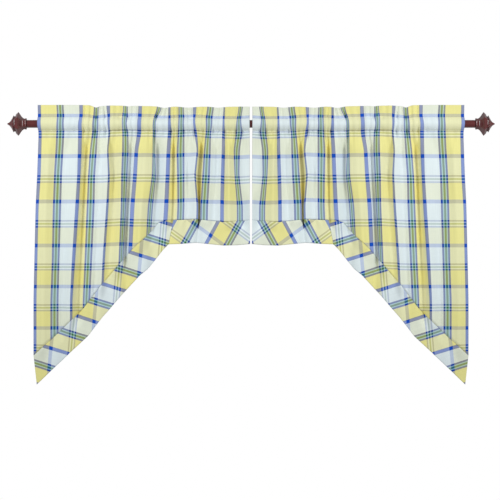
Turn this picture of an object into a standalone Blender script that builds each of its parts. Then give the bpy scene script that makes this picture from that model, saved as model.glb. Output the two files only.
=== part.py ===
"""A pair of gathered swag valances on a curtain rod.

The origin is on the rod's axis, midway between the two panels. +X runs along the rod, -Y is the
front and +Z is up. Each panel is one cloth that hangs from the rod by a pocket, with a stand-up
heading above the pocket. Its lower edge slants up from a long outer point to a short middle, and
carries a gathered ruffle in two strips that meet at a mitre. The right side mirrors the left.

"out" is the distance from the middle plane. Tables are in millimetres, everything else in metres.
"""

import math
from collections import namedtuple

import bmesh
import bpy

MM = 0.001

# Rod and finials.
ROD_RADIUS = 12.7 * MM
ROD_WALL = 1.0 * MM
ROD_HALF_LENGTH = 732.2 * MM
ROD_SIDES = 32
TOUCH_GAP = 0.3 * MM
SPIGOT_RADIUS = ROD_RADIUS - ROD_WALL - 2 * TOUCH_GAP
SPIGOT_LENGTH = 25 * MM
FINIAL_SIDES = 6

# Cloth.
CLOTH = 1.5 * MM
POCKET_WALL = 1.6 * MM
HEADING_THICKNESS = 3.0 * MM
HEADING_TOP = 62.4 * MM
UPPER_STITCH = 24 * MM
LOWER_STITCH = -22 * MM
NECK = -85.2 * MM
STEEPEST = math.radians(68)
DRIFT_REACH = 90 * MM
HEADING_DEPTH_SHARE = 0.3
BODY_ROWS = (0.07, 0.16, 0.28, 0.42, 0.58, 0.78, 1.0)
SEAM_GAP = 0.45 * MM
MITRE_GAP = 0.4 * MM
MITRE_STRIPE = 18
RUFFLE_ROWS = (0.5, 1.0)
RUFFLE_WAVE = 6 * MM

# The pocket's hole, seen from the end: how far its wall stands from the pleat's middle line.
HOLE_HALF_DEPTH = 14.3 * MM
HOLE_SHOULDER_DEPTH = 10.2 * MM
HOLE_SHOULDER_HEIGHT = 12 * MM
HOLE_END_INSET = 3 * MM

# One row for each woven stripe, from the outer edge in. flat is its width on the flat cloth. turn is
# the share of the stripe at which it turns: a positive stripe first runs back and then forward, a
# negative one first forward and then back. The other columns are how far out the stripe's inner
# side shows at each level.
Stripe = namedtuple("Stripe", "name flat turn heading neck upper middle low foot")
STRIPES = (
    Stripe("edge", 0.0, 0.0, 696, 696, 699, 704, 708, 711),
    Stripe("wide", 10.5, -1.0, 687, 685, 687, 694, 698, 701),
    Stripe("yellow", 51.0, -0.5, 634, 638, 643, 647, 650, 655),
    Stripe("triple", 27.0, 1.0, 610, 613, 617, 620, 626, 629),
    Stripe("white", 49.5, 0.2, 562, 565, 567, 573, 584, 590),
    Stripe("wide", 13.0, 1.0, 550, 553, 557, 562, 574, 583),
    Stripe("yellow", 51.0, 0.6, 515, 527, 533, 537, 544, 550),
    Stripe("triple", 27.0, -1.0, 498, 503, 509, 511, 519, 525),
    Stripe("white", 49.5, 0.25, 470, 469, 466, 472, 484, 490),
    Stripe("wide", 13.0, 1.0, 460, 466, 461, 465, 477, 483),
    Stripe("yellow", 51.0, 0.35, 421, 421, 424, 425, 432, 438),
    Stripe("triple", 27.0, 1.0, 402, 400, 404, 409, 418, 425),
    Stripe("white", 49.5, 0.35, 369, 380, 385, 394, 402, 408),
    Stripe("wide", 13.0, 1.0, 357, 368, 372, 380, 389, 395),
    Stripe("yellow", 51.0, -0.5, 315, 321, 323, 337, 346, 353),
    Stripe("triple", 27.0, 1.0, 302, 315, 311, 321, 333, 340),
    Stripe("white", 49.5, 0.2, 271, 275, 278, 283, 294, 300),
    Stripe("wide", 13.0, 1.0, 262, 263, 266, 270, 281, 287),
    Stripe("yellow", 51.0, 0.5, 237, 243, 241, 240, 248, 255),
    Stripe("triple", 27.0, 0.5, 216, 217, 217, 217, 222, 229),
    Stripe("white", 49.5, 0.3, 189, 176, 185, 177, 183, 186),
    Stripe("wide", 13.0, 1.0, 180, 172, 181, 172, 176, 180),
    Stripe("yellow", 51.0, 0.5, 147, 154, 159, 166, 169, 173),
    Stripe("triple", 27.0, -1.0, 126, 131, 134, 140, 144, 147),
    Stripe("white", 49.5, 0.5, 92, 95, 98, 100, 101, 101),
    Stripe("wide", 13.0, 1.0, 86, 84, 86, 88, 88, 88),
    Stripe("yellow", 51.0, -0.4, 46, 57, 54, 46, 46, 46),
    Stripe("triple", 27.0, 1.0, 30, 36, 38, 26, 26, 26),
    Stripe("white", 30.0, -1.0, 4, 3, 3, 3, 3, 3),
)

# The height of each level of the table above.
Level = namedtuple("Level", "name height")
LEVELS = (
    Level("heading", -22.0),
    Level("neck", -85.2),
    Level("upper", -166.9),
    Level("middle", -268.1),
    Level("low", -444.5),
    Level("foot", -575.1),
)

# The panel's lower edge, where the ruffle is sewn on, from the outer point to the middle.
Point = namedtuple("Point", "out height")
SEAM = (
    Point(711, -756),
    Point(659, -709),
    Point(596, -650),
    Point(550, -604),
    Point(484, -519),
    Point(388, -409),
    Point(338, -363),
    Point(302, -321),
    Point(270, -314),
    Point(178, -311),
    Point(90, -320),
    Point(3, -314),
)

# The ruffle's free edge, from its tip to the mitre, and from the mitre to the middle.
SIDE_EDGE = (
    Point(700, -851),
    Point(592, -748),
    Point(534, -694),
    Point(484, -630),
    Point(413, -548),
    Point(363, -495),
    Point(337, -474),
    Point(287, -411),
    Point(269, -393),
)
TOP_EDGE = (
    Point(269, -393),
    Point(237, -392),
    Point(178, -388),
    Point(90, -397),
    Point(45, -396),
    Point(3, -392),
)

# A finial's sections: distance from the rod's end, and the radius over its corners.
Section = namedtuple("Section", "along radius")
FINIAL = (
    Section(0.0, 18.6),
    Section(4.2, 18.6),
    Section(8.2, 17.6),
    Section(13.5, 20.4),
    Section(17.6, 26.0),
    Section(21.5, 33.4),
    Section(27.0, 38.7),
    Section(35.0, 31.4),
    Section(37.6, 26.0),
    Section(40.0, 24.6),
    Section(42.8, 27.5),
    Section(49.0, 15.7),
    Section(56.8, 5.2),
    Section(64.2, 0.8),
)


def clear_scene():
    """Removes whatever the file already holds."""
    for thing in list(bpy.data.objects):
        bpy.data.objects.remove(thing)


def make_material(name, colour, roughness):
    """A plain Principled material."""
    material = bpy.data.materials.new(name)
    material.use_nodes = True
    shader = material.node_tree.nodes["Principled BSDF"]
    shader.inputs["Base Color"].default_value = (*colour, 1.0)
    shader.inputs["Roughness"].default_value = roughness
    shader.inputs["Metallic"].default_value = 0.0
    return material


def make_object(name, points, faces, material, smooth_angle=None):
    """One closed mesh object from points and faces, with its faces turned outwards."""
    mesh = bpy.data.meshes.new(name)
    mesh.from_pydata(points, [], faces)
    model = bmesh.new()
    model.from_mesh(mesh)
    bmesh.ops.recalc_face_normals(model, faces=model.faces)
    model.to_mesh(mesh)
    model.free()
    if smooth_angle:
        mesh.shade_smooth()
        mesh.set_sharp_from_angle(angle=smooth_angle)
    mesh.materials.append(material)
    thing = bpy.data.objects.new(name, mesh)
    bpy.context.collection.objects.link(thing)
    return thing


# ---------------------------------------------------------------- rod and finials


def ring(x, radius, sides):
    """Points on a circle about the rod's axis, starting straight up."""
    angles = [2 * math.pi * k / sides for k in range(sides)]
    return [(x, radius * math.sin(a), radius * math.cos(a)) for a in angles]


def bridge(first, second, count):
    """Faces between two rings of points whose numbers start at first and second."""
    return [
        (first + k, first + (k + 1) % count, second + (k + 1) % count, second + k)
        for k in range(count)
    ]


def make_rod(material):
    """The rod: a round tube, open at both ends."""
    end = ROD_HALF_LENGTH
    bore = ROD_RADIUS - ROD_WALL
    rings = ((-end, ROD_RADIUS), (end, ROD_RADIUS), (end, bore), (-end, bore))
    points = []
    faces = []
    for x, radius in rings:
        points += ring(x, radius, ROD_SIDES)
    for k in range(4):
        faces += bridge(k * ROD_SIDES, (k + 1) % 4 * ROD_SIDES, ROD_SIDES)
    return make_object("rod", points, faces, material, math.radians(40))


def hexagon(x, corner_radius):
    """A hexagon about the rod's axis, corners up and down, with a point halfway along each side."""
    points = []
    for k in range(FINIAL_SIDES):
        angle = 2 * math.pi * k / FINIAL_SIDES
        next_angle = 2 * math.pi * (k + 1) / FINIAL_SIDES
        corner = (corner_radius * math.sin(angle), corner_radius * math.cos(angle))
        other = (corner_radius * math.sin(next_angle), corner_radius * math.cos(next_angle))
        points.append((x, corner[0], corner[1]))
        points.append((x, (corner[0] + other[0]) / 2, (corner[1] + other[1]) / 2))
    return points


def make_finial(name, side, material):
    """A hexagonal finial with a round spigot that plugs into the rod's end."""
    count = 2 * FINIAL_SIDES
    base = ROD_HALF_LENGTH + TOUCH_GAP
    rings = [
        ring(side * (base - SPIGOT_LENGTH), SPIGOT_RADIUS, count),
        ring(side * base, SPIGOT_RADIUS, count),
    ]
    for section in FINIAL:
        rings.append(hexagon(side * (base + section.along * MM), section.radius * MM))
    points = [point for one in rings for point in one]
    faces = [tuple(range(count))]
    for k in range(len(rings) - 1):
        faces += bridge(k * count, (k + 1) * count, count)
    faces.append(tuple(range((len(rings) - 1) * count, len(rings) * count)))
    return make_object(name, points, faces, material)


# ---------------------------------------------------------------- shape of the hanging cloth


def mix(a, b, share):
    """The value a share of the way from a to b."""
    return a + (b - a) * share


def smooth(share):
    """A share from 0 to 1, eased at both ends."""
    share = min(max(share, 0.0), 1.0)
    return share * share * (3 - 2 * share)


def stripe_out(stripe, height):
    """How far out a stripe's inner side is at a height."""
    if height >= LEVELS[0].height * MM:
        return getattr(stripe, LEVELS[0].name) * MM
    for above, below in zip(LEVELS, LEVELS[1:]):
        if height >= below.height * MM:
            share = (above.height * MM - height) / ((above.height - below.height) * MM)
            return mix(getattr(stripe, above.name), getattr(stripe, below.name), share) * MM
    return getattr(stripe, LEVELS[-1].name) * MM


def pleat_line(height):
    """The cloth's line at a height, as (out, depth) points: one for each stripe's side and each turn.

    Each stripe keeps its flat width, so what doesn't show across goes back or comes forward.
    """
    outs = [stripe_out(stripe, height) for stripe in STRIPES]
    line = [(outs[0], 0.0)]
    for k in range(1, len(STRIPES)):
        stripe = STRIPES[k]
        flat = stripe.flat * MM
        shown = outs[k - 1] - outs[k]
        least = flat * math.cos(STEEPEST)
        across = min(max(shown, least), flat)
        deep = math.sqrt(flat * flat - across * across)
        way = 1.0 if stripe.turn > 0 else -1.0
        share = abs(stripe.turn)
        depth = line[-1][1]
        if share < 1:
            line.append((outs[k - 1] - shown * share, depth + way * deep * share))
        line.append((outs[k], depth + way * deep * (2 * share - 1)))
    return centred(line)


def centred(line):
    """The same line with its slow drift away from the rod's plane taken out."""
    result = []
    for out, depth in line:
        near = [d for o, d in line if abs(o - out) < DRIFT_REACH]
        result.append((out, depth - sum(near) / len(near)))
    return result


def fall(points, out):
    """The height of an outline of Points at a distance out."""
    for outer, inner in zip(points, points[1:]):
        if out * 1000 >= inner.out:
            share = (outer.out - out * 1000) / (outer.out - inner.out)
            return mix(outer.height, inner.height, max(share, 0.0)) * MM
    return points[-1].height * MM


def depth_share(height):
    """How much of a pleat's full depth shows at a height: little at the gathers, all by the neck."""
    return mix(HEADING_DEPTH_SHARE, 1.0, smooth((LOWER_STITCH - height) / (LOWER_STITCH - NECK)))


def bottom_heights():
    """Where each column of the cloth meets the seam, found by following the column down."""
    count = len(pleat_line(0.0))
    heights = [SEAM[-1].height * MM] * count
    for _ in range(12):
        heights = [fall(SEAM, pleat_line(heights[k])[k][0]) for k in range(count)]
    return heights


def normals(line):
    """Unit vectors across a line of (out, depth) points, stretched at each bend to keep the thickness."""
    result = []
    for k in range(len(line)):
        before = line[max(k - 1, 0)]
        here = line[k]
        after = line[min(k + 1, len(line) - 1)]
        sides = []
        for a, b in ((before, here), (here, after)):
            across = a[0] - b[0]
            deep = b[1] - a[1]
            length = math.hypot(across, deep)
            if length:
                sides.append((deep / length, across / length))
        total = (sum(s[0] for s in sides), sum(s[1] for s in sides))
        size = math.hypot(*total)
        unit = (total[0] / size, total[1] / size)
        bend = unit[0] * sides[0][0] + unit[1] * sides[0][1]
        result.append((unit[0] / bend, unit[1] / bend))
    return result


def thicken(line, thickness, square_ends=False):
    """The front and back (out, depth) points of a cloth line of a given thickness."""
    half = thickness / 2
    across = normals(line)
    if square_ends:
        across[0] = across[-1] = (0.0, 1.0)
    front = []
    back = []
    for (out, depth), (n_out, n_depth) in zip(line, across):
        front.append((out - n_out * half, depth - n_depth * half))
        back.append((out + n_out * half, depth + n_depth * half))
    return front, back


# ---------------------------------------------------------------- panels and ruffles


def body_rows():
    """The panel's rows below the pocket, as (front, back) lists of (out, depth, height) points."""
    bottoms = bottom_heights()
    rows = []
    for share in BODY_ROWS:
        heights = [mix(LOWER_STITCH, bottom, share) for bottom in bottoms]
        line = []
        for k, height in enumerate(heights):
            out, depth = pleat_line(height)[k]
            line.append((out, depth * depth_share(height)))
        front, back = thicken(line, CLOTH)
        rows.append(
            (
                [(out, depth, height) for (out, depth), height in zip(front, heights)],
                [(out, depth, height) for (out, depth), height in zip(back, heights)],
            )
        )
    return rows


def pocket_columns():
    """For each column, the outer front, outer back and inner hole points of heading and pocket."""
    columns = []
    for out, full_depth in pleat_line(0.0):
        depth = full_depth * HEADING_DEPTH_SHARE
        swell = 2.5 * MM
        front_swell = min(max(swell - depth * 0.4, 0.3 * MM), 6 * MM)
        back_swell = min(max(swell + depth * 0.4, 0.3 * MM), 6 * MM)
        half = HEADING_THICKNESS / 2
        outer = {}
        hole = [(out, depth, UPPER_STITCH - HOLE_END_INSET)]
        for side, swelling in ((-1, front_swell), (1, back_swell)):
            middle = HOLE_HALF_DEPTH + swelling
            shoulder = HOLE_SHOULDER_DEPTH + swelling
            outer[side] = [
                (out, depth + side * half, HEADING_TOP),
                (out, depth + side * half, UPPER_STITCH),
                (out, side * (shoulder + POCKET_WALL), HOLE_SHOULDER_HEIGHT),
                (out, side * (middle + POCKET_WALL), 0.0),
                (out, side * (shoulder + POCKET_WALL), -HOLE_SHOULDER_HEIGHT),
                (out, depth + side * half, LOWER_STITCH),
            ]
            walls = [
                (out, side * shoulder, HOLE_SHOULDER_HEIGHT),
                (out, side * middle, 0.0),
                (out, side * shoulder, -HOLE_SHOULDER_HEIGHT),
            ]
            if side < 0:
                hole += walls
                hole.append((out, depth, LOWER_STITCH + HOLE_END_INSET))
            else:
                hole += reversed(walls)
        columns.append((outer[-1], outer[1], hole))
    return columns


def two_triangles(a, b, c, d):
    """A four-sided face as two triangles, always cut from its first corner."""
    return [(a, b, c), (a, c, d)]


def make_panel(name, side, material, rows):
    """One panel: heading, rod pocket and body in one closed piece, with the pocket open at both ends."""
    columns = pocket_columns()
    count = len(columns)
    points = []
    fronts = []
    backs = []
    holes = []
    for k, (front, back, hole) in enumerate(columns):
        front = front + [row[0][k] for row in rows]
        back = back + [row[1][k] for row in rows]
        for chosen, numbers in ((front, fronts), (back, backs), (hole, holes)):
            numbers.append(list(range(len(points), len(points) + len(chosen))))
            points += [(side * out, depth, height) for out, depth, height in chosen]
    faces = []
    for k in range(count - 1):
        for layer in (fronts, backs):
            for r in range(len(layer[k]) - 1):
                faces.append((layer[k][r], layer[k + 1][r], layer[k + 1][r + 1], layer[k][r + 1]))
        size = len(holes[k])
        for r in range(size):
            other = (r + 1) % size
            faces.append((holes[k][r], holes[k + 1][r], holes[k + 1][other], holes[k][other]))
        faces.append((fronts[k][0], fronts[k + 1][0], backs[k + 1][0], backs[k][0]))
        faces += two_triangles(fronts[k][-1], fronts[k + 1][-1], backs[k + 1][-1], backs[k][-1])
    for k in (0, count - 1):
        faces += panel_end(fronts[k], backs[k], holes[k])
    return make_object(name, points, faces, material)


def panel_end(front, back, hole):
    """The faces that close a panel's end, leaving the pocket open."""
    faces = [(front[0], front[1], back[1], back[0])]
    faces.append((front[1], hole[0], back[1]))
    for r in range(4):
        faces.append((front[1 + r], front[2 + r], hole[1 + r], hole[r]))
    back_hole = [hole[0], hole[7], hole[6], hole[5], hole[4]]
    for r in range(4):
        faces.append((back[1 + r], back[2 + r], back_hole[r + 1], back_hole[r]))
    faces.append((front[5], hole[4], back[5]))
    for r in range(5, len(front) - 1):
        faces.append((front[r], front[r + 1], back[r + 1], back[r]))
    return faces


def along(points, share):
    """The (out, height) point a share of the way along an outline, by its length."""
    lengths = [math.dist(a, b) for a, b in zip(points, points[1:])]
    target = share * sum(lengths)
    for a, b, length in zip(points, points[1:], lengths):
        if target <= length:
            part = target / length
            return mix(a.out, b.out, part) * MM, mix(a.height, b.height, part) * MM
        target -= length
    return points[-1].out * MM, points[-1].height * MM


def ruffle_rows(seam_row, edge, waves):
    """The rows of a ruffle strip. It starts just under its seam row and ends at its free edge."""
    front, back = seam_row
    middle = [
        ((a[0] + b[0]) / 2, (a[1] + b[1]) / 2, (a[2] + b[2]) / 2) for a, b in zip(front, back)
    ]
    steps = [0.0]
    for a, b in zip(middle, middle[1:]):
        steps.append(steps[-1] + math.dist((a[0], a[2]), (b[0], b[2])))
    rows = [tuple([(p[0], p[1], p[2] - SEAM_GAP) for p in layer] for layer in (front, back))]
    for share in RUFFLE_ROWS:
        line = []
        heights = []
        for point, step in zip(middle, steps):
            place = step / steps[-1]
            edge_out, edge_height = along(edge, place)
            wave = RUFFLE_WAVE * math.sin(2 * math.pi * waves * place)
            line.append((mix(point[0], edge_out, share), mix(point[1], wave, share)))
            heights.append(mix(point[2] - SEAM_GAP, edge_height, share))
        layers = thicken(line, CLOTH, square_ends=True)
        rows.append(
            tuple([(p[0], p[1], h) for p, h in zip(layer, heights)] for layer in layers)
        )
    return rows


def make_ruffle(name, side, material, rows):
    """One ruffle strip as a closed sheet."""
    count = len(rows[0][0])
    points = []
    numbers = []
    for row in rows:
        pair = []
        for layer in row:
            pair.append(list(range(len(points), len(points) + count)))
            points += [(side * out, depth, height) for out, depth, height in layer]
        numbers.append(pair)
    faces = []
    for k in range(count - 1):
        for upper, lower in zip(numbers, numbers[1:]):
            for layer in (0, 1):
                a, b = upper[layer], lower[layer]
                faces.append((a[k], a[k + 1], b[k + 1], b[k]))
        for front, back in (numbers[0], numbers[-1]):
            faces += two_triangles(front[k], front[k + 1], back[k + 1], back[k])
    for k in (0, count - 1):
        for upper, lower in zip(numbers, numbers[1:]):
            faces.append((upper[0][k], upper[1][k], lower[1][k], lower[0][k]))
    return make_object(name, points, faces, material)


def mitre_column():
    """The number of the column at which the two ruffle strips meet: the turn of the mitre's stripe."""
    return 1 + sum(2 if abs(stripe.turn) < 1 else 1 for stripe in STRIPES[1:MITRE_STRIPE])


def shift(row, column, amount):
    """A copy of a row with one column's points moved outwards."""
    moved = []
    for layer in row:
        layer = list(layer)
        out, depth, height = layer[column]
        layer[column] = (out + amount, depth, height)
        moved.append(layer)
    return tuple(moved)


def make_side(word, side, material):
    """One panel and its two ruffle strips."""
    rows = body_rows()
    make_panel("panel_" + word, side, material, rows)
    seam = rows[-1]
    split = mitre_column()
    outer = tuple(layer[: split + 1] for layer in seam)
    inner = tuple(layer[split:] for layer in seam)
    side_rows = [shift(row, -1, MITRE_GAP) for row in ruffle_rows(outer, SIDE_EDGE, 6.5)]
    make_ruffle("ruffle_side_" + word, side, material, side_rows)
    make_ruffle("ruffle_top_" + word, side, material, ruffle_rows(inner, TOP_EDGE, 3.0))


def main():
    clear_scene()
    cloth = make_material("plaid_cloth", (0.78, 0.80, 0.66), 0.9)
    mahogany = make_material("mahogany_finish", (0.05, 0.006, 0.006), 0.3)
    make_rod(mahogany)
    for word, side in (("left", -1), ("right", 1)):
        make_finial("finial_" + word, side, mahogany)
        make_side(word, side, cloth)


main()
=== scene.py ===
"""Looks of two gathered plaid swag valances on a curtain rod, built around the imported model.

Both halves are made from one set of tables: the left half as measured, the right half mirrored.
"out" is the distance from the middle plane, "flat" a place on the cloth before it was gathered,
with its first number across the cloth from the outer edge and its second down from the top fold.
Tables are in millimetres, everything else in metres.
"""

import math
from collections import namedtuple

import bpy
import numpy as np
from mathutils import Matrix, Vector


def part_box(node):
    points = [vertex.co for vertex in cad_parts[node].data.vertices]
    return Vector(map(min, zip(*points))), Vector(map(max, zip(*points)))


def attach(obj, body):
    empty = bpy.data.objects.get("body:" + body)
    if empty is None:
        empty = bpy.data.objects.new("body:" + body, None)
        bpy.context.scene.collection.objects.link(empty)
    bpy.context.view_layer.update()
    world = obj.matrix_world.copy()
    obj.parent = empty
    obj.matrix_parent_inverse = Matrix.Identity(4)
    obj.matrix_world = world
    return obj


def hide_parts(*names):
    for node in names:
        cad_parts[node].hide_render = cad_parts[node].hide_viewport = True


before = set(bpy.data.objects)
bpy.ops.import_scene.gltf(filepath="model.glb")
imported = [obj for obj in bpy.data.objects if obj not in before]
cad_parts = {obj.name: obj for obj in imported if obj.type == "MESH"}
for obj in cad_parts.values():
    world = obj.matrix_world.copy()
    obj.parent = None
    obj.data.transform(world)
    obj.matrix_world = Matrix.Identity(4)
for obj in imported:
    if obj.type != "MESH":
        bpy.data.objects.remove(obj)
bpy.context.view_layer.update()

MM = 0.001

# ------------------------------------------------------------------ sizes

CLOTH_THICKNESS = 0.45 * MM
COLUMN_STEP = 3.0 * MM
FINE_STEP = 1.0 * MM
SIDE_HEM = 12 * MM
HEADING_GAP = 1.3 * MM
HEADING_TOP = 61.0 * MM
HEADING_SAG = 5.5 * MM
UPPER_STITCH = 24 * MM
LOWER_STITCH = -22 * MM
POCKET_HEM = 12 * MM
ROD_RADIUS = 12.7 * MM
ROD_CLEARANCE = 0.7 * MM
POCKET_BULGE = 16.0 * MM
BACK_BULGE = 15.0 * MM
SEAM_ALLOWANCE = 7 * MM
PINCH_STRENGTH = 1.5
GATHER_STRENGTH = 0.75
SETT = 140.5 * MM
EDGE_OFFSET = 2.5 * MM

# One row for each woven stripe, from the outer edge in. flat is its width on the flat cloth. turn is
# the share of the stripe at which it turns: a positive stripe first runs back and then forward, a
# negative one first forward and then back. lift is how much higher its weft bands sit than those of
# the outer edge. The other columns are how far out its inner side shows at each level.
Stripe = namedtuple(
    "Stripe", "name flat turn lift top stitch pocket gather neck upper middle low foot"
)
STRIPES = (
    Stripe("edge", 0.0, 0.0, 0, 697, 696, 698, 694, 696, 699, 704, 708, 711),
    Stripe("wide", 10.5, -1.0, 0, 687, 686, 686, 684, 685, 687, 694, 698, 701),
    Stripe("yellow", 51.0, -0.5, 0, 635, 633, 633, 636, 638, 643, 647, 650, 655),
    Stripe("triple", 27.0, 1.0, 0, 612, 609, 610, 609, 613, 617, 620, 626, 629),
    Stripe("white", 49.5, 0.2, 0, 561, 560, 564, 565, 565, 567, 573, 584, 590),
    Stripe("wide", 13.0, 1.0, 0, 549, 549, 552, 552, 553, 557, 562, 574, 583),
    Stripe("yellow", 51.0, 0.6, 0, 513, 516, 517, 519, 527, 533, 537, 544, 550),
    Stripe("triple", 27.0, -1.0, 0, 497, 499, 496, 500, 503, 509, 511, 519, 525),
    Stripe("white", 49.5, 0.25, 1, 473, 468, 468, 465, 469, 466, 472, 484, 490),
    Stripe("wide", 13.0, 1.0, 3, 460, 460, 460, 460, 466, 461, 465, 477, 483),
    Stripe("yellow", 51.0, 0.35, 5, 418, 422, 421, 421, 421, 424, 425, 432, 438),
    Stripe("triple", 27.0, 1.0, 5, 402, 402, 406, 400, 400, 404, 409, 418, 425),
    Stripe("white", 49.5, 0.35, 4, 368, 370, 371, 372, 380, 385, 394, 402, 408),
    Stripe("wide", 13.0, 1.0, 3, 356, 357, 358, 358, 368, 372, 380, 389, 395),
    Stripe("yellow", 51.0, -0.5, 3, 307, 318, 320, 321, 321, 323, 337, 346, 353),
    Stripe("triple", 27.0, 1.0, 2, 291, 309, 311, 311, 315, 311, 321, 333, 340),
    Stripe("white", 49.5, 0.2, 1, 270, 270, 270, 271, 275, 278, 283, 294, 300),
    Stripe("wide", 13.0, 1.0, 1, 263, 263, 261, 260, 263, 266, 270, 281, 287),
    Stripe("yellow", 51.0, 0.5, 2, 237, 237, 237, 239, 243, 241, 240, 248, 255),
    Stripe("triple", 27.0, 0.5, 4, 219, 217, 218, 217, 217, 217, 217, 222, 229),
    Stripe("white", 49.5, 0.3, 5, 190, 189, 189, 186, 176, 185, 177, 183, 186),
    Stripe("wide", 13.0, 1.0, 3, 178, 182, 182, 176, 172, 181, 172, 176, 180),
    Stripe("yellow", 51.0, 0.5, 0, 143, 149, 147, 148, 154, 159, 166, 169, 173),
    Stripe("triple", 27.0, -1.0, -1, 121, 127, 125, 131, 131, 134, 140, 144, 147),
    Stripe("white", 49.5, 0.5, -1, 89, 92, 92, 94, 95, 98, 100, 101, 101),
    Stripe("wide", 13.0, 1.0, -3, 85, 86, 86, 85, 84, 86, 88, 88, 88),
    Stripe("yellow", 51.0, -0.4, -4, 40, 46, 48, 49, 57, 54, 46, 46, 46),
    Stripe("triple", 27.0, 1.0, -3, 26, 33, 31, 28, 36, 38, 26, 26, 26),
    Stripe("white", 30.0, -1.0, -1, 4, 4, 4, 4, 3, 3, 3, 3, 3),
)

# The height of each level of the table above.
Level = namedtuple("Level", "name height")
LEVELS = (
    Level("top", 55),
    Level("stitch", 23),
    Level("pocket", 0),
    Level("gather", -28),
    Level("neck", -85),
    Level("upper", -167),
    Level("middle", -268),
    Level("low", -444),
    Level("foot", -575),
)

# The panel's lower edge, where the ruffle is sewn on, and the ruffle's free edge.
Point = namedtuple("Point", "out height")
SEAM = (
    Point(711, -756),
    Point(659, -709),
    Point(596, -650),
    Point(550, -604),
    Point(484, -519),
    Point(388, -409),
    Point(338, -363),
    Point(302, -321),
    Point(270, -314),
    Point(178, -311),
    Point(90, -320),
    Point(3, -314),
)
SIDE_EDGE = (
    Point(700, -851),
    Point(592, -748),
    Point(534, -694),
    Point(484, -630),
    Point(413, -548),
    Point(363, -495),
    Point(337, -474),
    Point(287, -411),
    Point(269, -393),
)
TOP_EDGE = (
    Point(269, -393),
    Point(237, -392),
    Point(178, -388),
    Point(90, -397),
    Point(45, -396),
    Point(3, -392),
)

# Where each weft band shows at the outer edge: its middle on the flat cloth and its height. The first
# row is the top fold and the last is past the tip.
Band = namedtuple("Band", "flat height")
WEFT_BANDS = (
    Band(0.0, 62.4),
    Band(35.6, 26.8),
    Band(105.6, -33.0),
    Band(176.0, -105.0),
    Band(246.0, -180.0),
    Band(316.6, -253.4),
    Band(387.0, -326.6),
    Band(457.0, -397.0),
    Band(527.0, -467.4),
    Band(597.6, -530.7),
    Band(668.0, -600.6),
    Band(738.0, -666.3),
    Band(808.0, -730.6),
    Band(850.0, -770.0),
)

# Dips in the heading's top edge: where, how deep and how wide.
Dip = namedtuple("Dip", "out depth width")
HEADING_DIPS = (
    Dip(507, 7.0, 9),
    Dip(483, 2.0, 12),
    Dip(283, 5.0, 14),
    Dip(206, 3.5, 18),
    Dip(106, 3.5, 16),
    Dip(402, 2.0, 8),
)

# Creases drawn in by the two rows of stitches: where, their height, how deep, how wide, and how far
# they run up and down.
Pinch = namedtuple("Pinch", "out height depth width up down")
PINCHES = (
    Pinch(501, 20, 7.0, 3.5, 30, 14),
    Pinch(477, 23, 4.0, 3.0, 14, 10),
    Pinch(430, 22, 5.5, 3.5, 16, 12),
    Pinch(402, 22, 3.5, 3.0, 10, 12),
    Pinch(307, 22, 5.0, 3.5, 24, 12),
    Pinch(291, 20, 3.5, 3.0, 12, 10),
    Pinch(268, 21, 4.5, 3.0, 18, 12),
    Pinch(245, 21, 4.5, 3.5, 14, 14),
    Pinch(196, 20, 4.5, 3.5, 18, 12),
    Pinch(144, 22, 4.0, 3.5, 16, 10),
    Pinch(124, 20, 3.5, 3.0, 14, 12),
    Pinch(93, 20, 4.0, 3.0, 14, 12),
    Pinch(36, 20, 5.0, 3.5, 18, 14),
    Pinch(575, -20, 3.0, 4.0, 12, 16),
    Pinch(546, -20, 4.0, 3.5, 12, 18),
    Pinch(509, -20, 4.5, 3.5, 14, 22),
    Pinch(474, -22, 4.0, 3.5, 12, 20),
    Pinch(430, -20, 5.0, 3.5, 14, 24),
    Pinch(408, -20, 4.0, 3.5, 12, 26),
    Pinch(362, -21, 4.0, 3.5, 12, 24),
    Pinch(307, -21, 5.0, 3.5, 12, 28),
    Pinch(261, -21, 5.0, 3.5, 12, 26),
    Pinch(220, -21, 4.0, 3.5, 12, 24),
    Pinch(183, -21, 5.0, 3.5, 14, 30),
    Pinch(124, -21, 4.0, 3.5, 12, 26),
    Pinch(88, -21, 4.0, 3.5, 12, 24),
    Pinch(49, -21, 4.5, 3.5, 12, 26),
    Pinch(30, -23, 6.0, 4.0, 16, 26),
)


# ------------------------------------------------------------------ small tools


def smooth_step(share):
    """Shares from 0 to 1, eased at both ends."""
    share = np.clip(share, 0.0, 1.0)
    return share * share * (3 - 2 * share)


def blurred(values, width, axis):
    """values with a bell-shaped average of that many samples along one axis."""
    reach = max(1, int(3 * width))
    offsets = np.arange(-reach, reach + 1)
    weights = np.exp(-0.5 * (offsets / width) ** 2)
    weights /= weights.sum()
    moved = np.moveaxis(values, axis, -1)
    padding = [(0, 0)] * (moved.ndim - 1) + [(reach, reach)]
    padded = np.pad(moved, padding, mode="edge")
    size = moved.shape[-1]
    total = sum(w * padded[..., k : k + size] for k, w in enumerate(weights))
    return np.moveaxis(total, -1, axis)


def wander(rng, places, spacing, size):
    """Smooth random values along places, changing over about one spacing."""
    low, high = places.min(), places.max()
    knots = np.arange(low - 2 * spacing, high + 3 * spacing, spacing)
    heights = rng.uniform(-size, size, len(knots))
    fine = np.linspace(knots[0], knots[-1], 8 * len(knots))
    curve = blurred(np.interp(fine, knots, heights), 4.0, 0)
    return np.interp(places, fine, curve)


def column(name):
    """One column of the stripe table, in metres."""
    return np.array([getattr(stripe, name) for stripe in STRIPES]) * MM


def outline(points):
    """An outline's distances out and heights, in metres."""
    return np.array(points, float).T * MM


def seam_height(out):
    """The height of the seam at distances out."""
    outs, heights = outline(SEAM)
    return np.interp(out, outs[::-1], heights[::-1])


# ------------------------------------------------------------------ the hanging cloth

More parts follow.
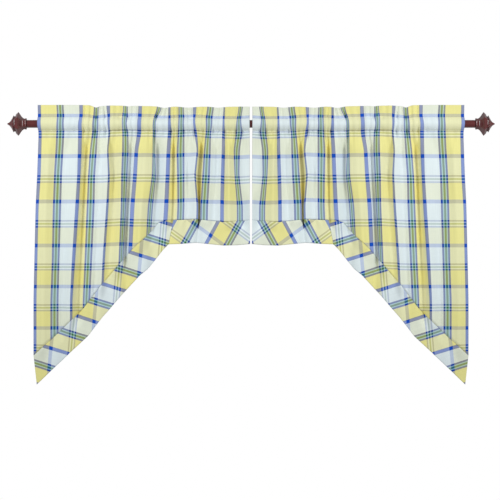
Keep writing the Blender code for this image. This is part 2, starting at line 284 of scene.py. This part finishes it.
FLAT_ENDS = np.cumsum(column("flat"))
PANEL_WIDTH = FLAT_ENDS[-1]
FINE = np.arange(0.0, PANEL_WIDTH + FINE_STEP, FINE_STEP)
LEVEL_HEIGHTS = np.array([level.height for level in LEVELS]) * MM
FIELD_STEP = 4 * MM
FIELD_HEIGHTS = np.arange(64 * MM, -772 * MM, -FIELD_STEP)
GATHER_SPLITS = {"edge": 1, "wide": 1, "triple": 2, "yellow": 4, "white": 4}


def stripe_outs():
    """How far out each stripe's inner side is at each height of the field."""
    table = np.array([column(level.name) for level in LEVELS])
    result = np.empty((len(FIELD_HEIGHTS), len(STRIPES)))
    for k in range(len(STRIPES)):
        result[:, k] = np.interp(FIELD_HEIGHTS, LEVEL_HEIGHTS[::-1], table[::-1, k])
    return blurred(result, 2.5, 0)


def body_runs():
    """For the hanging folds: each run's end on the flat cloth, its stripe and its way."""
    ends, stripes, ways = [], [], []
    for k in range(1, len(STRIPES)):
        stripe = STRIPES[k]
        start = FLAT_ENDS[k - 1]
        way = 1.0 if stripe.turn > 0 else -1.0
        share = abs(stripe.turn)
        ends.append(start + share * stripe.flat * MM)
        stripes.append(k)
        ways.append(way)
        if share < 1:
            ends.append(FLAT_ENDS[k])
            stripes.append(k)
            ways.append(-way)
    return np.array(ends), np.array(stripes), np.array(ways)


def gather_runs(rng):
    """For the small gathers of heading and pocket: runs that turn back and forward in each stripe."""
    ends, stripes, ways = [], [], []
    way = 1.0
    for k in range(1, len(STRIPES)):
        splits = GATHER_SPLITS[STRIPES[k].name]
        shares = np.arange(1, splits + 1) / splits
        shares[:-1] += rng.uniform(-0.22, 0.22, splits - 1) / splits
        for share in shares:
            ends.append(FLAT_ENDS[k - 1] + share * STRIPES[k].flat * MM)
            stripes.append(k)
            ways.append(way)
            way = -way
    return np.array(ends), np.array(stripes), np.array(ways)


def pleated(outs, runs, rounding, centring):
    """The cloth's line across for each height: how far out and how deep each fine sample is.

    Each stripe keeps its flat width, so what doesn't show across goes back or comes forward.
    """
    ends, stripes, ways = runs
    run = np.clip(np.searchsorted(ends, FINE), 0, len(ends) - 1)
    stripe = stripes[run]
    shown = outs[:, stripe - 1] - outs[:, stripe]
    flat = column("flat")[stripe]
    slope = np.arccos(np.clip(shown / flat, 0.12, 1.0)) * ways[run]
    slope = blurred(slope, rounding / FINE_STEP, 1)
    slope = blurred(slope, 4.0, 0)
    across = np.cumsum(np.cos(slope) * FINE_STEP, axis=1)
    deep = np.cumsum(np.sin(slope) * FINE_STEP, axis=1)
    deep -= blurred(deep, centring / FINE_STEP, 1)
    at_ends = np.clip(np.round(FLAT_ENDS / FINE_STEP).astype(int), 0, len(FINE) - 1)
    out = np.empty_like(across)
    for k in range(len(across)):
        out[k] = np.interp(across[k], across[k, at_ends], outs[k])
    out = blurred(out, 1.5, 1)
    return out, deep


class Field:
    """The hanging folds and the small gathers, on a grid of heights and places across the flat cloth."""

    def __init__(self):
        rng = np.random.default_rng(11)
        outs = stripe_outs()
        self.body_out, self.body_deep = pleated(outs, body_runs(), 4.0 * MM, 60 * MM)
        self.gather_out, self.gather_deep = pleated(outs, gather_runs(rng), 2.4 * MM, 16 * MM)

    def read(self, grid, flat_across, height):
        """grid's values at places across the flat cloth and heights, two arrays of one shape."""
        column_at = np.clip(flat_across / FINE_STEP, 0, len(FINE) - 1.001)
        row_at = np.clip((FIELD_HEIGHTS[0] - height) / FIELD_STEP, 0, len(FIELD_HEIGHTS) - 1.001)
        c = column_at.astype(int)
        r = row_at.astype(int)
        u = column_at - c
        v = row_at - r
        upper = grid[r, c] * (1 - u) + grid[r, c + 1] * u
        lower = grid[r + 1, c] * (1 - u) + grid[r + 1, c + 1] * u
        return upper * (1 - v) + lower * v

    def place(self, flat_across, height):
        """How far out and how deep the cloth is."""
        body = smooth_step((-26 * MM - height) / (64 * MM))
        out = self.read(self.gather_out, flat_across, height) * (1 - body)
        out += self.read(self.body_out, flat_across, height) * body
        deep = self.read(self.gather_deep, flat_across, height) * (1 - body) * GATHER_STRENGTH
        deep += self.read(self.body_deep, flat_across, height) * body
        return out, deep


FIELD = Field()


def pocket_profile(height):
    """How much of the pocket's bulge there is at a height, from 0 at the stitches to 1."""
    middle = (UPPER_STITCH + LOWER_STITCH) / 2
    half = (UPPER_STITCH - LOWER_STITCH) / 2
    share = np.clip(np.abs(height - middle) / half, 0, 1)
    return (1 - share**1.8) ** 0.72


def pinch_depth(out, height):
    """How deep the stitches' creases draw the cloth in at a place."""
    total = np.zeros(np.broadcast(out, height).shape)
    for pinch in PINCHES:
        rise = height - pinch.height * MM
        reach = np.where(rise > 0, pinch.up, pinch.down) * MM
        along = np.exp(-np.abs(rise / reach) ** 1.5)
        side = (out - pinch.out * MM) / (pinch.width * MM)
        total += PINCH_STRENGTH * pinch.depth * MM * along * np.exp(-0.5 * side**2)
    return total


def heading_drop(out):
    """How much lower the heading's top edge is than at the outer edge."""
    drop = HEADING_SAG * smooth_step((0.62 - out) / 0.45)
    for dip in HEADING_DIPS:
        drop = drop + dip.depth * MM * np.exp(-0.5 * ((out - dip.out * MM) / (dip.width * MM)) ** 2)
    return drop


def weft_place(flat_across, height):
    """The place down the flat cloth that shows at a height."""
    lift = np.interp(flat_across, FLAT_ENDS, column("lift"))
    flats = np.array([band.flat for band in WEFT_BANDS]) * MM
    heights = np.array([band.height for band in WEFT_BANDS]) * MM
    return np.interp(-(height - lift), -heights, flats)


# ------------------------------------------------------------------ meshes


def grid_faces(rows, columns):
    """Four-sided faces of a grid of points."""
    first = (np.arange(rows - 1)[:, None] * columns + np.arange(columns - 1)[None, :]).ravel()
    return np.stack([first, first + columns, first + columns + 1, first + 1], axis=1)


def cloth_object(name, points, flat, material, side):
    """A sheet of cloth from a grid of points, carrying its flat places as an attribute."""
    rows, columns = points.shape[:2]
    corners = points.reshape(-1, 3).copy()
    corners[:, 0] *= side
    faces = grid_faces(rows, columns)
    if side > 0:
        faces = faces[:, ::-1]
    mesh = bpy.data.meshes.new(name)
    mesh.from_pydata(corners.tolist(), [], faces.tolist())
    attribute = mesh.attributes.new("flat_place", "FLOAT_VECTOR", "POINT")
    places = np.zeros((rows * columns, 3), np.float32)
    places[:, :2] = flat.reshape(-1, 2)
    attribute.data.foreach_set("vector", places.ravel())
    mesh.shade_smooth()
    mesh.materials.append(material)
    thing = bpy.data.objects.new(name, mesh)
    bpy.context.collection.objects.link(thing)
    thickness = thing.modifiers.new("thickness", "SOLIDIFY")
    thickness.thickness = CLOTH_THICKNESS
    thickness.offset = 0.0
    return thing


# ------------------------------------------------------------------ panels


def column_places():
    """Places across the flat cloth for the panel's columns, its turned side hems included."""
    count = int((PANEL_WIDTH + 2 * SIDE_HEM) / COLUMN_STEP)
    return np.linspace(-SIDE_HEM, PANEL_WIDTH + SIDE_HEM, count)


def fold_hem(across):
    """Where the turned side hems lie: the place in front of each column, and its way to the back."""
    inside = np.where(across > PANEL_WIDTH, 2 * PANEL_WIDTH - across, np.abs(across))
    past = np.maximum(np.maximum(-across, across - PANEL_WIDTH), 0.0)
    return inside, smooth_step(past / (1.6 * MM))


def bottom_heights(across):
    """Where each column meets the seam, found by following the column down."""
    height = np.full(len(across), -0.314)
    for _ in range(20):
        out, _ = FIELD.place(across, height)
        height = 0.5 * (height + seam_height(out))
    return height


def layer(across, height, front):
    """Points of the pocket, heading and body on one side. front is 1 for the front layer, 0 for the back."""
    inside, turned = fold_hem(across)
    out, deep = FIELD.place(inside, height)
    deep = deep + pinch_depth(out, height)
    above = smooth_step((height - UPPER_STITCH) / (30 * MM))
    deep = deep * (1 - 0.25 * above)
    bulge = pocket_profile(height)
    edge_room = np.exp(-((np.minimum(inside, PANEL_WIDTH - inside) / (12 * MM)) ** 2)) * 1.4 * MM
    heading = np.clip((height - LOWER_STITCH) / (4 * MM), 0, 1)
    if front:
        swell = POCKET_BULGE + edge_room
        deep = deep * (1 - 0.45 * bulge) - bulge * swell - HEADING_GAP / 2 * heading
        clear = np.sqrt(np.maximum((ROD_RADIUS + ROD_CLEARANCE + edge_room) ** 2 - height**2, 0))
        inner = np.where(np.abs(height) < ROD_RADIUS + ROD_CLEARANCE, -clear, 1.0)
        deep = np.minimum(deep, inner)
        deep = deep + turned * 0.9 * MM
    else:
        swell = BACK_BULGE + edge_room
        deep = deep * (1 - 0.6 * bulge) + bulge * swell + HEADING_GAP / 2
        clear = np.sqrt(np.maximum((ROD_RADIUS + ROD_CLEARANCE + edge_room) ** 2 - height**2, 0))
        inner = np.where(np.abs(height) < ROD_RADIUS + ROD_CLEARANCE, clear, -1.0)
        deep = np.maximum(deep, inner)
        deep = deep + (0.6 * MM + (1 - heading) * 1.2 * MM) - turned * 0.7 * MM
    flat_down = weft_place(inside, height)
    return out, deep, flat_down


def panel_grid():
    """The whole panel as a grid: up the back of the pocket, over the heading's fold and down the front."""
    across = column_places()
    inside, _ = fold_hem(across)
    out_at_top, _ = FIELD.place(inside, np.full(len(across), HEADING_TOP))
    drop = heading_drop(out_at_top)
    bottoms = bottom_heights(inside)
    points, flats = [], []

    def add(height, front, flat_down=None, push=0.0):
        out, deep, down = layer(across, height, front)
        squeeze = drop * smooth_step((height - LOWER_STITCH) / (HEADING_TOP - LOWER_STITCH))
        points.append(np.stack([out, deep + push, height - squeeze], axis=1))
        down = down if front else -down
        if flat_down is not None:
            down = np.full(len(across), flat_down)
        flats.append(np.stack([across, down], axis=1))

    low = LOWER_STITCH - POCKET_HEM
    for height in np.linspace(low, HEADING_TOP, 26):
        add(np.full(len(across), height), 0)
    add(np.full(len(across), HEADING_TOP + 0.8 * MM), 0, 0.0, -0.9 * MM)
    for height in np.linspace(HEADING_TOP, -46 * MM, 42):
        add(np.full(len(across), height), 1)
    for height in np.linspace(-46 * MM, -118 * MM, 15)[1:]:
        add(np.full(len(across), height), 1)
    for share in np.linspace(0, 1, 49)[1:]:
        add(-118 * MM + (bottoms + 118 * MM) * share, 1)
    out, deep, down = layer(across, bottoms, 1)
    for rise, back in ((-0.2, 1.2), (2.0, 2.2), (SEAM_ALLOWANCE / MM, 2.4)):
        points.append(np.stack([out, deep + back * MM, bottoms + rise * MM], axis=1))
        flats.append(np.stack([across, down + (1.2 + rise) * MM], axis=1))
    return np.array(points), np.array(flats)


# ------------------------------------------------------------------ ruffles

# The two strips of a ruffle. fullness is flat length over shown length. The angles turn the strip's
# own directions, along and down, into the plaid's: one for the warp stripes and one for the weft
# bands. warp_start and weft_start move the plaid along.
Strip = namedtuple("Strip", "fullness warp_angle weft_angle warp_start weft_start")
SIDE_STRIP = Strip(1.16, 58.0, 53.3, -45.0 + 5.25, -22.6)
TOP_STRIP = Strip(1.16, 122.0, 122.0, -8.0 + 5.25, 68.0)
RUFFLE_ROWS = 26
MITRE_OUT = 255 * MM


def along(points, share):
    """The (out, height) places at shares of the way along an outline, by its length."""
    outs, heights = outline(points)
    steps = np.hypot(np.diff(outs), np.diff(heights))
    lengths = np.concatenate([[0.0], np.cumsum(steps)]) / steps.sum()
    return np.interp(share, lengths, outs), np.interp(share, lengths, heights)


# Troughs and ridges of a ruffle: where along the strip, how deep at the free edge (less than nothing
# comes forward), how wide, and how far their line leans along the strip on its way down.
Flute = namedtuple("Flute", "share depth width lean")
SIDE_FLUTES = (
    Flute(0.04, 5.0, 0.030, 0.0),
    Flute(0.12, -5.0, 0.035, 0.0),
    Flute(0.20, 4.5, 0.030, 0.01),
    Flute(0.29, -5.0, 0.035, 0.0),
    Flute(0.37, 6.0, 0.028, 0.01),
    Flute(0.45, -6.0, 0.032, 0.0),
    Flute(0.54, 6.0, 0.028, 0.01),
    Flute(0.62, -5.5, 0.030, 0.0),
    Flute(0.70, 5.0, 0.028, 0.0),
    Flute(0.79, -5.0, 0.032, 0.0),
    Flute(0.88, 5.0, 0.030, 0.0),
    Flute(0.96, -3.0, 0.030, 0.0),
)
TOP_FLUTES = (
    Flute(0.06, -3.0, 0.05, 0.0),
    Flute(0.20, 4.0, 0.06, 0.0),
    Flute(0.36, 7.0, 0.03, 0.0),
    Flute(0.46, -6.0, 0.05, 0.0),
    Flute(0.62, 4.0, 0.06, 0.0),
    Flute(0.78, -5.0, 0.06, 0.0),
    Flute(0.93, 4.0, 0.05, 0.0),
)


def flute_depth(flutes, place, down):
    """How deep the flutes are at places along and down a strip."""
    total = np.zeros(np.broadcast(place, down).shape)
    for flute in flutes:
        middle = flute.share + flute.lean * down
        total += flute.depth * MM * np.exp(-0.5 * ((place - middle) / flute.width) ** 2)
    return total


def ruffle_grid(seam_row, edge, strip, flutes, seed):
    """A ruffle strip as a grid, from its seam allowance behind the panel down to its free edge."""
    rng = np.random.default_rng(seed)
    out, deep, height = seam_row.T
    steps = np.hypot(np.diff(out), np.diff(height))
    shown = np.concatenate([[0.0], np.cumsum(steps)])
    place = shown / shown[-1]
    edge_out, edge_height = along(edge, place)
    start = np.array([out[0], height[0]])
    run = np.array([out[-1], height[-1]]) - start
    run /= np.hypot(*run)
    fall = np.array([-run[1], run[0]])
    if fall[1] > 0:
        fall = -fall
    pucker = wander(rng, shown, 7 * MM, 2.2 * MM)
    ripple = wander(rng, shown, 22 * MM, 3.0 * MM)
    calm = blurred(deep, 9.0, 0)
    points, flats = [], []
    warp = math.radians(strip.warp_angle)
    weft = math.radians(strip.weft_angle)

    def add(down, back, rise):
        x = out + (edge_out - out) * down
        z = height + (edge_height - height) * down + rise
        near_seam = math.exp(-((down / 0.16) ** 2))
        y = deep * (1 - smooth_step(down / 0.5)) + calm * 0.55 * smooth_step(down / 0.5)
        y = y + pucker * near_seam * smooth_step(down / 0.05)
        y = y + ripple * 0.4 * smooth_step(down / 0.4)
        y = y + flute_depth(flutes, place, down) * smooth_step(down / 0.9)
        points.append(np.stack([x, y + back, z], axis=1))
        relative = np.stack([x, z], axis=1) - start
        a = relative @ run * strip.fullness
        b = relative @ fall
        p = a * math.sin(warp) - b * math.cos(warp)
        q = a * math.cos(weft) + b * math.sin(weft)
        flats.append(np.stack([p + strip.warp_start * MM, q + strip.weft_start * MM], axis=1))

    for rise, back in ((SEAM_ALLOWANCE, 3.2 * MM), (2.5 * MM, 3.2 * MM), (0.3 * MM, 2.4 * MM)):
        add(0.0, back, rise)
    for down in np.linspace(0.006, 1.0, RUFFLE_ROWS):
        add(down, 1.4 * MM * math.exp(-((down / 0.02) ** 2)), 0.0)
    add(1.0, 1.1 * MM, 0.5 * MM)
    add(0.94, 1.2 * MM, 0.0)
    return np.array(points), np.array(flats)


# ------------------------------------------------------------------ materials


def new_material(name):
    """A new node material, its tree and its shader."""
    material = bpy.data.materials.new(name)
    material.use_nodes = True
    tree = material.node_tree
    shader = tree.nodes["Principled BSDF"]
    return material, tree, shader


def srgb(red, green, blue):
    """A colour given as it looks on a screen, from 0 to 255, in linear light."""
    values = np.array([red, green, blue]) / 255.0
    linear = np.where(values <= 0.04045, values / 12.92, ((values + 0.055) / 1.055) ** 2.4)
    return (*linear.tolist(), 1.0)


def math_node(tree, operation, first, second=None, third=None):
    """A maths node whose inputs are numbers or other nodes' outputs."""
    node = tree.nodes.new("ShaderNodeMath")
    node.operation = operation
    for socket, value in zip(node.inputs, (first, second, third)):
        if isinstance(value, (int, float)):
            socket.default_value = value
        elif value is not None:
            tree.links.new(value, socket)
    return node.outputs[0]


# The colours of the yarns.
YARNS = {
    "navy": srgb(8, 56, 156),
    "royal": srgb(10, 80, 196),
    "yellow": srgb(249, 236, 156),
    "aqua": srgb(170, 212, 214),
    "green": srgb(58, 116, 62),
    "white": srgb(238, 243, 246),
}
Yarn = namedtuple("Yarn", "colour width")
# The order and widths of the coloured stripes, across the cloth and down it.
WARP_SETT = (
    Yarn("navy", 1.6),
    Yarn("royal", 9.8),
    Yarn("navy", 1.6),
    Yarn("yellow", 51.0),
    Yarn("navy", 6.5),
    Yarn("aqua", 3.5),
    Yarn("green", 7.0),
    Yarn("aqua", 3.5),
    Yarn("navy", 6.5),
    Yarn("white", 49.5),
)
WEFT_SETT = (
    Yarn("royal", 12.0),
    Yarn("white", 52.0),
    Yarn("navy", 5.0),
    Yarn("white", 4.5),
    Yarn("green", 5.0),
    Yarn("white", 4.5),
    Yarn("navy", 5.0),
    Yarn("yellow", 52.5),
)
WEFT_START = 35.6 - 6.0
WARP_SHARE = 0.68


def sett_colour(tree, place, sett):
    """The yarn colour at a place, from a ramp that repeats with the sett."""
    share = math_node(tree, "FRACT", math_node(tree, "DIVIDE", place, SETT))
    ramp = tree.nodes.new("ShaderNodeValToRGB")
    ramp.color_ramp.interpolation = "CONSTANT"
    total = sum(yarn.width for yarn in sett)
    start = 0.0
    elements = ramp.color_ramp.elements
    for k, yarn in enumerate(sett):
        element = elements[0] if k == 0 else elements.new(start / total)
        element.position = start / total
        element.color = YARNS[yarn.colour]
        start += yarn.width
    if len(elements) > len(sett):
        elements.remove(elements[-1])
    tree.links.new(share, ramp.inputs[0])
    return ramp.outputs[0]


def yarn_noise(tree, across, down, across_size, down_size, detail):
    """Noise drawn out along a yarn."""
    combine = tree.nodes.new("ShaderNodeCombineXYZ")
    tree.links.new(math_node(tree, "DIVIDE", across, across_size), combine.inputs[0])
    tree.links.new(math_node(tree, "DIVIDE", down, down_size), combine.inputs[1])
    noise = tree.nodes.new("ShaderNodeTexNoise")
    noise.inputs["Scale"].default_value = 1.0
    noise.inputs["Detail"].default_value = detail
    tree.links.new(combine.outputs[0], noise.inputs["Vector"])
    return noise.outputs["Fac"]


def mix_colours(tree, kind, share, first, second):
    """A colour mixing node."""
    node = tree.nodes.new("ShaderNodeMix")
    node.data_type = "RGBA"
    node.blend_type = kind
    for socket, value in ((node.inputs[0], share), (node.inputs[6], first), (node.inputs[7], second)):
        if isinstance(value, (int, float)):
            socket.default_value = value
        elif isinstance(value, tuple):
            socket.default_value = value
        else:
            tree.links.new(value, socket)
    return node.outputs[2]


def grey(tree, value):
    """A grey colour from a number."""
    combine = tree.nodes.new("ShaderNodeCombineColor")
    for socket in combine.inputs[:3]:
        tree.links.new(value, socket)
    return combine.outputs[0]


def plaid_material():
    """Woven cotton plaid: repeating warp and weft stripes, yarn unevenness and weave."""
    material, tree, shader = new_material("plaid_cloth")
    attribute = tree.nodes.new("ShaderNodeAttribute")
    attribute.attribute_name = "flat_place"
    split = tree.nodes.new("ShaderNodeSeparateXYZ")
    tree.links.new(attribute.outputs["Vector"], split.inputs[0])
    across, down = split.outputs[0], split.outputs[1]
    warp = sett_colour(tree, math_node(tree, "ADD", across, EDGE_OFFSET), WARP_SETT)
    weft = sett_colour(tree, math_node(tree, "SUBTRACT", down, WEFT_START * MM), WEFT_SETT)
    cloth = mix_colours(tree, "MIX", WARP_SHARE, weft, warp)
    warp_streak = yarn_noise(tree, across, down, 1.7 * MM, 90 * MM, 3.0)
    weft_streak = yarn_noise(tree, across, down, 90 * MM, 2.2 * MM, 3.0)
    streak = math_node(tree, "MULTIPLY_ADD", warp_streak, 0.16, 0.90)
    streak = math_node(tree, "MULTIPLY_ADD", weft_streak, 0.05, streak)
    cloth = mix_colours(tree, "MULTIPLY", 1.0, cloth, grey(tree, streak))
    tree.links.new(cloth, shader.inputs["Base Color"])
    shader.inputs["Roughness"].default_value = 0.85
    shader.inputs["Specular IOR Level"].default_value = 0.2
    shader.inputs["Sheen Weight"].default_value = 0.12
    shader.inputs["Sheen Roughness"].default_value = 0.5
    yarn_pitch = 0.8 * MM
    over = math_node(tree, "SINE", math_node(tree, "MULTIPLY", across, 2 * math.pi / yarn_pitch))
    under = math_node(tree, "SINE", math_node(tree, "MULTIPLY", down, 2 * math.pi / yarn_pitch))
    weave = math_node(tree, "MULTIPLY", over, under)
    height = math_node(tree, "MULTIPLY_ADD", warp_streak, 1.5, weave)
    bump = tree.nodes.new("ShaderNodeBump")
    bump.inputs["Strength"].default_value = 0.25
    bump.inputs["Distance"].default_value = 0.12 * MM
    tree.links.new(height, bump.inputs["Height"])
    tree.links.new(bump.outputs[0], shader.inputs["Normal"])
    return material


def lacquer_material():
    """Dark mahogany lacquer on the rod and finials."""
    material, tree, shader = new_material("mahogany_finish")
    coordinates = tree.nodes.new("ShaderNodeTexCoord")
    noise = tree.nodes.new("ShaderNodeTexNoise")
    noise.inputs["Scale"].default_value = 60.0
    noise.inputs["Detail"].default_value = 4.0
    tree.links.new(coordinates.outputs["Object"], noise.inputs["Vector"])
    dark, light = srgb(84, 14, 16), srgb(108, 26, 26)
    colour = mix_colours(tree, "MIX", noise.outputs["Fac"], dark, light)
    tree.links.new(colour, shader.inputs["Base Color"])
    rough = math_node(tree, "MULTIPLY_ADD", noise.outputs["Fac"], 0.12, 0.2)
    tree.links.new(rough, shader.inputs["Roughness"])
    shader.inputs["Coat Weight"].default_value = 0.6
    shader.inputs["Coat Roughness"].default_value = 0.12
    return material


# ------------------------------------------------------------------ rod and finials


def lofted(name, rings, material, sharp_degrees):
    """A closed mesh over a list of rings with the same number of points, capped at both ends."""
    count = len(rings[0])
    points = [tuple(point) for ring in rings for point in ring]
    faces = [tuple(range(count))[::-1]]
    for k in range(len(rings) - 1):
        first = k * count
        for j in range(count):
            other = (j + 1) % count
            faces.append((first + j, first + other, first + count + other, first + count + j))
    faces.append(tuple(range((len(rings) - 1) * count, len(rings) * count)))
    mesh = bpy.data.meshes.new(name)
    mesh.from_pydata(points, [], faces)
    mesh.validate()
    mesh.shade_smooth()
    mesh.set_sharp_from_angle(angle=math.radians(sharp_degrees))
    mesh.materials.append(material)
    thing = bpy.data.objects.new(name, mesh)
    bpy.context.collection.objects.link(thing)
    return thing


# A finial's profile: distance from the rod's end and radius over its corners.
Turn = namedtuple("Turn", "along radius")
FINIAL_PROFILE = (
    Turn(0.0, 17.6),
    Turn(0.7, 18.4),
    Turn(3.6, 18.6),
    Turn(4.4, 18.0),
    Turn(5.2, 17.2),
    Turn(8.2, 17.6),
    Turn(11.0, 18.9),
    Turn(14.0, 21.2),
    Turn(17.6, 25.6),
    Turn(21.0, 30.8),
    Turn(24.0, 35.2),
    Turn(26.4, 38.4),
    Turn(27.4, 38.6),
    Turn(28.4, 37.6),
    Turn(35.0, 31.0),
    Turn(36.4, 27.0),
    Turn(37.6, 24.8),
    Turn(40.0, 24.4),
    Turn(41.0, 26.6),
    Turn(42.4, 27.5),
    Turn(43.4, 26.6),
    Turn(49.0, 15.7),
    Turn(53.0, 9.6),
    Turn(56.8, 5.2),
    Turn(61.5, 2.6),
    Turn(64.0, 0.6),
)
CORNER_STEPS = 5
CORNER_ROUNDING = 0.06
FINIAL_LENGTH = 64.2 * MM
TUBE_WALL = 1.0 * MM
TUBE_SIDES = 96


def hexagon_ring(x, radius):
    """A hexagon about the rod's axis with slightly rounded corners, corners up and down."""
    points = []
    inner = radius * (1 - CORNER_ROUNDING)
    small = radius * CORNER_ROUNDING
    for corner in range(6):
        middle = corner * math.pi / 3
        for step in range(CORNER_STEPS):
            turn = middle + (step / (CORNER_STEPS - 1) - 0.5) * math.pi / 3
            y = inner * math.sin(middle) + small * math.sin(turn)
            z = inner * math.cos(middle) + small * math.cos(turn)
            points.append((x, y, z))
    return points


def make_finial(word, side, material):
    """One finial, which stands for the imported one."""
    low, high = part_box("finial_" + word)
    tip = high.x if side > 0 else low.x
    base = tip - side * FINIAL_LENGTH
    rings = [hexagon_ring(base - side * 0.1 * MM, 11.0 * MM)]
    for turn in FINIAL_PROFILE:
        rings.append(hexagon_ring(base + side * turn.along * MM, turn.radius * MM))
    if side < 0:
        rings = [ring[::-1] for ring in rings]
    finial = lofted("finial_moulding_" + word, rings, material, 38)
    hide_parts("finial_" + word)
    return finish_piece(finial)


def make_rod(material):
    """The rod's tube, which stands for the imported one."""
    low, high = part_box("rod")
    bore = ROD_RADIUS - TUBE_WALL
    angles = np.arange(TUBE_SIDES) * 2 * math.pi / TUBE_SIDES
    rings = []
    soft = 0.4 * MM
    profile = (
        (low.x, bore),
        (low.x, ROD_RADIUS - soft),
        (low.x + soft, ROD_RADIUS),
        (high.x - soft, ROD_RADIUS),
        (high.x, ROD_RADIUS - soft),
        (high.x, bore),
    )
    for x, radius in profile:
        rings.append([(x, radius * math.sin(a), radius * math.cos(a)) for a in angles])
    tube = lofted("rod_tube", rings, material, 30)
    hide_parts("rod")
    return finish_piece(tube)


# ------------------------------------------------------------------ assembly


def finish_piece(thing):
    """A piece rides on the one body."""
    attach(thing, "root")
    return thing


def make_half(word, side, cloth):
    """One panel with its two ruffle strips."""
    points, flat = panel_grid()
    panel = cloth_object("valance_panel_" + word, points, flat, cloth, side)
    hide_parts("panel_" + word)
    finish_piece(panel)
    across = column_places()
    front = (across >= 0) & (across <= PANEL_WIDTH)
    seam_row = points[-4][front]
    split = int(np.argmin(np.abs(seam_row[:, 0] - MITRE_OUT)))
    strips = (
        ("side", seam_row[: split + 1], SIDE_EDGE, SIDE_STRIP, SIDE_FLUTES, 5),
        ("top", seam_row[split:], TOP_EDGE, TOP_STRIP, TOP_FLUTES, 6),
    )
    for kind, row, edge, strip, flutes, seed in strips:
        grid, places = ruffle_grid(row, edge, strip, flutes, seed)
        name = f"ruffle_{kind}_cloth_{word}"
        ruffle = cloth_object(name, grid, places, cloth, side)
        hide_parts(f"ruffle_{kind}_{word}")
        finish_piece(ruffle)


def make_stage():
    """The pale floor."""
    floor_mesh = bpy.data.meshes.new("floor")
    reach, depth = 2.2, -1.75
    floor_mesh.from_pydata(
        [(-reach, -2.0, depth), (reach, -2.0, depth), (reach, 1.2, depth), (-reach, 1.2, depth)],
        [],
        [(0, 1, 2, 3)],
    )
    floor = bpy.data.objects.new("floor", floor_mesh)
    bpy.context.collection.objects.link(floor)
    paint, _, shader = new_material("floor_paint")
    shader.inputs["Base Color"].default_value = (0.86, 0.86, 0.86, 1.0)
    shader.inputs["Roughness"].default_value = 0.8
    floor_mesh.materials.append(paint)


def make_light(name, place, target, size, watts, colour, spread):
    """A rectangular area light that points at a target."""
    data = bpy.data.lights.new(name, "AREA")
    data.shape = "RECTANGLE"
    data.size, data.size_y = size
    data.energy = watts
    data.color = colour
    data.spread = math.radians(spread)
    lamp = bpy.data.objects.new(name, data)
    bpy.context.collection.objects.link(lamp)
    lamp.location = place
    point_at(lamp, target)


def point_at(thing, target):
    """Turns a light or camera to look at a target."""
    direction = Vector(target) - Vector(thing.location)
    thing.rotation_euler = direction.to_track_quat("-Z", "Y").to_euler()


def make_lights():
    """Each half is lit mostly from its own outer side, over an even pale fill."""
    for word, side in (("left", -1), ("right", 1)):
        make_light(
            "key_" + word,
            (side * 1.75, -1.5, 0.45),
            (side * 0.38, 0.0, -0.25),
            (0.7, 0.9),
            4.9,
            (0.93, 1.0, 1.0),
            80,
        )
    world = bpy.data.worlds.new("studio")
    bpy.context.scene.world = world
    world.use_nodes = True
    tree = world.node_tree
    background = tree.nodes["Background"]
    path = tree.nodes.new("ShaderNodeLightPath")
    colour = mix_colours(
        tree, "MIX", path.outputs["Is Camera Ray"], (0.385, 0.415, 0.415, 1.0), (1.0, 1.0, 1.0, 1.0)
    )
    tree.links.new(colour, background.inputs["Color"])
    background.inputs["Strength"].default_value = 1.0


def make_camera():
    """A long lens, square on to the middle of the picture."""
    distance = 6.0
    shown_width = 1.633
    middle = (-0.0033, -0.4118)
    data = bpy.data.cameras.new("camera")
    data.sensor_width = 36.0
    data.lens = data.sensor_width * distance / shown_width
    camera = bpy.data.objects.new("camera", data)
    bpy.context.collection.objects.link(camera)
    camera.location = (middle[0], -distance, middle[1])
    camera.rotation_euler = (math.pi / 2, 0.0, 0.0)
    bpy.context.scene.camera = camera


bpy.context.scene.view_settings.view_transform = "Standard"
lacquer = lacquer_material()
plaid = plaid_material()
make_rod(lacquer)
for half, way in (("left", -1), ("right", 1)):
    make_finial(half, way, lacquer)
    make_half(half, way, plaid)
make_stage()
make_lights()
make_camera()
